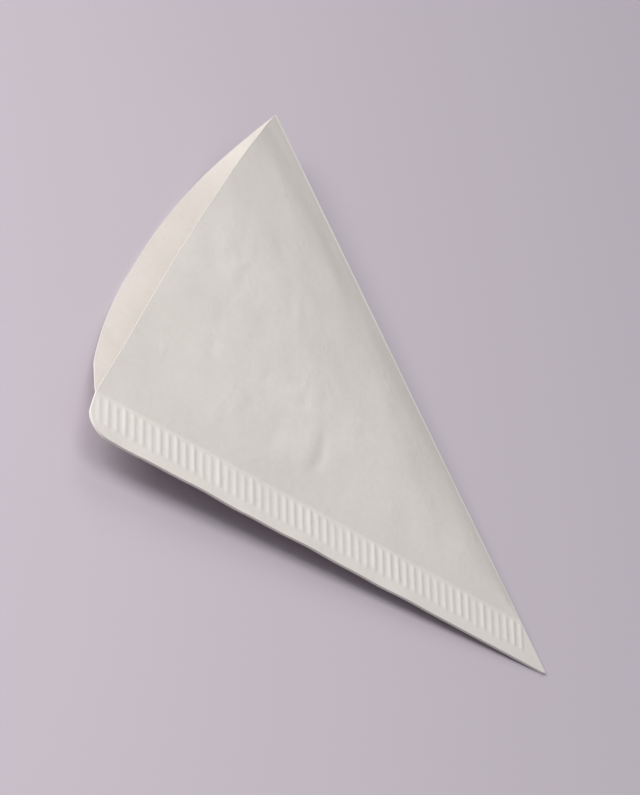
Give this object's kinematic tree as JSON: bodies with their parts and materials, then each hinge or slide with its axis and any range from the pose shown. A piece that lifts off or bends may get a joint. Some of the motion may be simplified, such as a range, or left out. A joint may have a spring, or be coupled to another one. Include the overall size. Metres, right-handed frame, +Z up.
{
  "type": "paper coffee filter",
  "caption": "Pointed paper coffee filter, folded flat and lying slightly open, with a crimped seam along one edge and a curved mouth; it lines a cone-shaped dripper and holds the grounds",
  "frame": {"origin": "bottom centre of the filter's box as it lies, on the surface that it rests on", "axes": "+Y runs from the tip towards the middle of the mouth, +X points to the folded edge and -X to the crimped edge, +Z is up"},
  "size_m": [0.1226, 0.1134, 0.0177],
  "materials": {
    "filter_paper": "matt, unprinted, faintly cockled"
  },
  "bodies": {
    "root": {"paper_filter": "filter_paper"}
  },
  "joints": []
}
